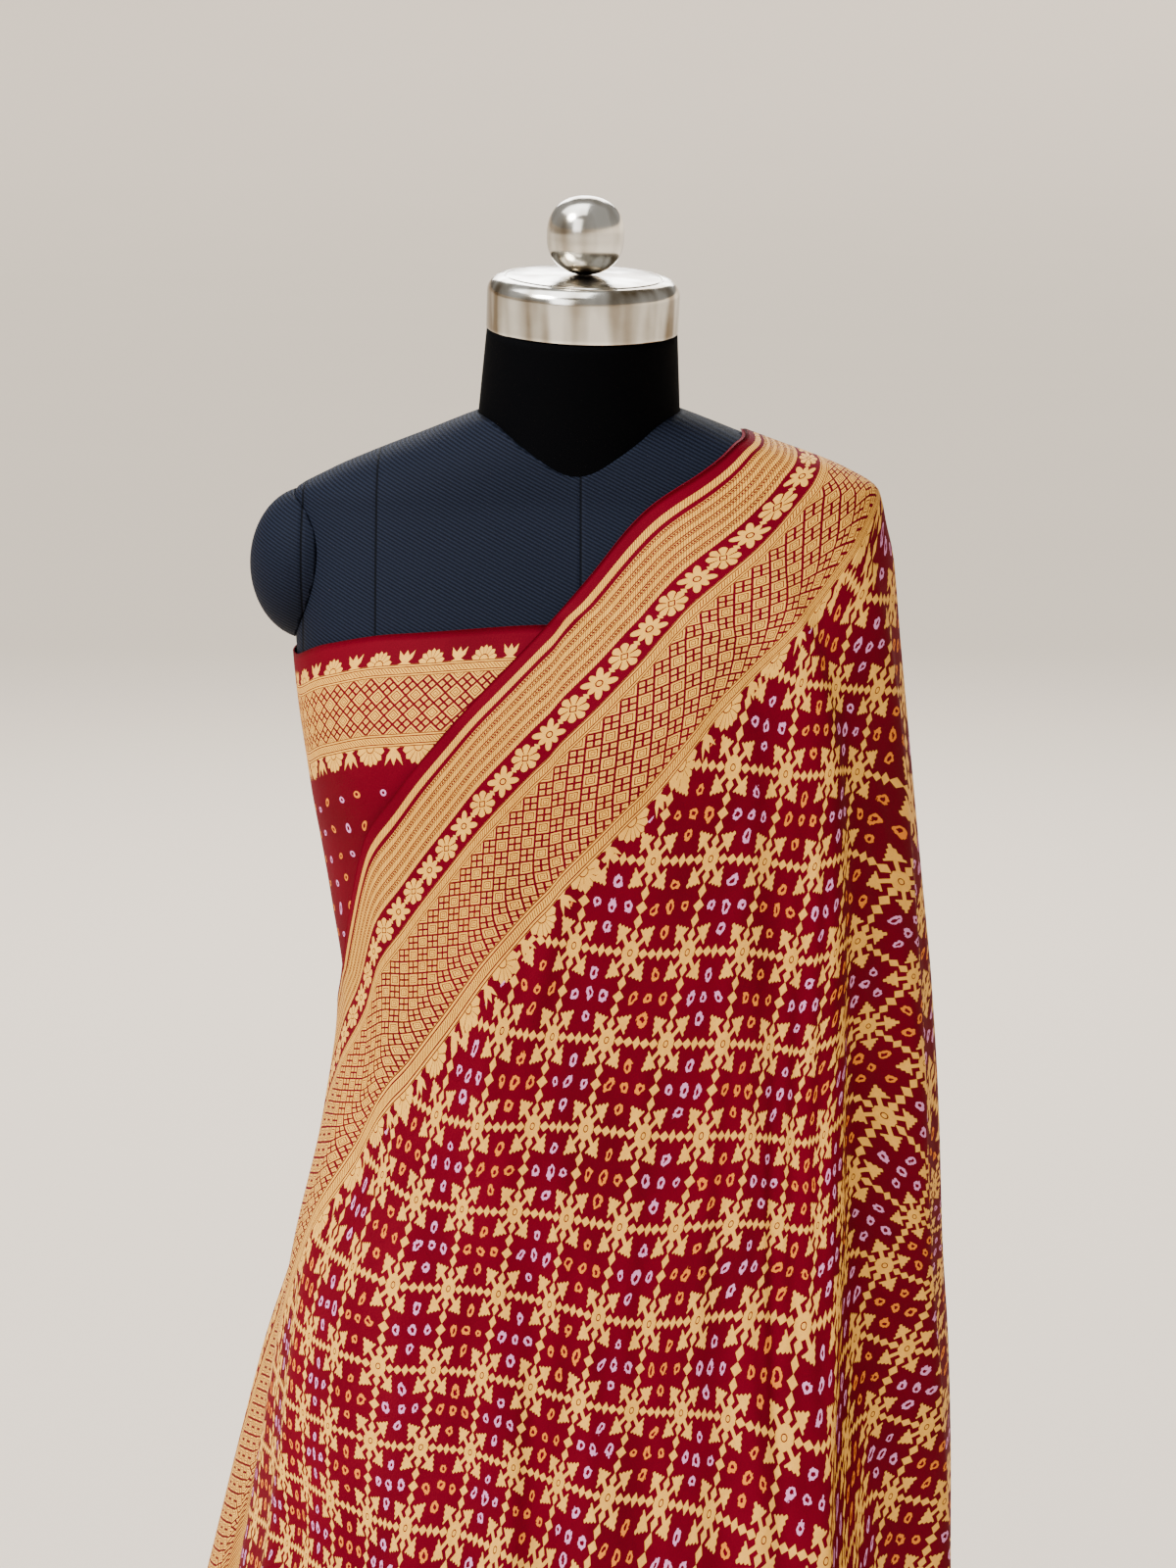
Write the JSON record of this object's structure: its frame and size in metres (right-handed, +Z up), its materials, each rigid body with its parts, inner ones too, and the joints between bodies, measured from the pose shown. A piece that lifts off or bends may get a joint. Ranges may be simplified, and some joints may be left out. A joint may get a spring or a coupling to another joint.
{
  "type": "bandhani sari draped on a dress form",
  "caption": "Crimson tie-dyed sari with woven gold borders and lattice, draped over one shoulder of a dark dress form on a round foot.",
  "frame": {"origin": "middle of the foot's underside, on the surface that it stands on", "axes": "+Z up along the pole, -Y to the front of the form, +X to the right side as seen by someone who faces it"},
  "size_m": [0.6093, 0.4375, 1.5328],
  "materials": {
    "sari_cloth": "soft crepe with woven gold thread and tie-dyed dots",
    "wrap_cloth": "soft crepe with woven gold thread and tie-dyed dots",
    "form_cover": "matt ribbed twill",
    "neck_cover": "matt plain black",
    "polished_metal": "polished with fine scratches",
    "stand_metal": "satin black powder coat"
  },
  "bodies": {
    "root": {"sari_drape": "sari_cloth", "inner_wrap": "wrap_cloth", "form_torso": "form_cover", "arm_end_left": "form_cover", "arm_end_right": "form_cover", "form_neck": "neck_cover", "neck_cap": "polished_metal", "neck_ball": "polished_metal", "stand_pole": "stand_metal", "stand_foot": "stand_metal"}
  },
  "joints": []
}
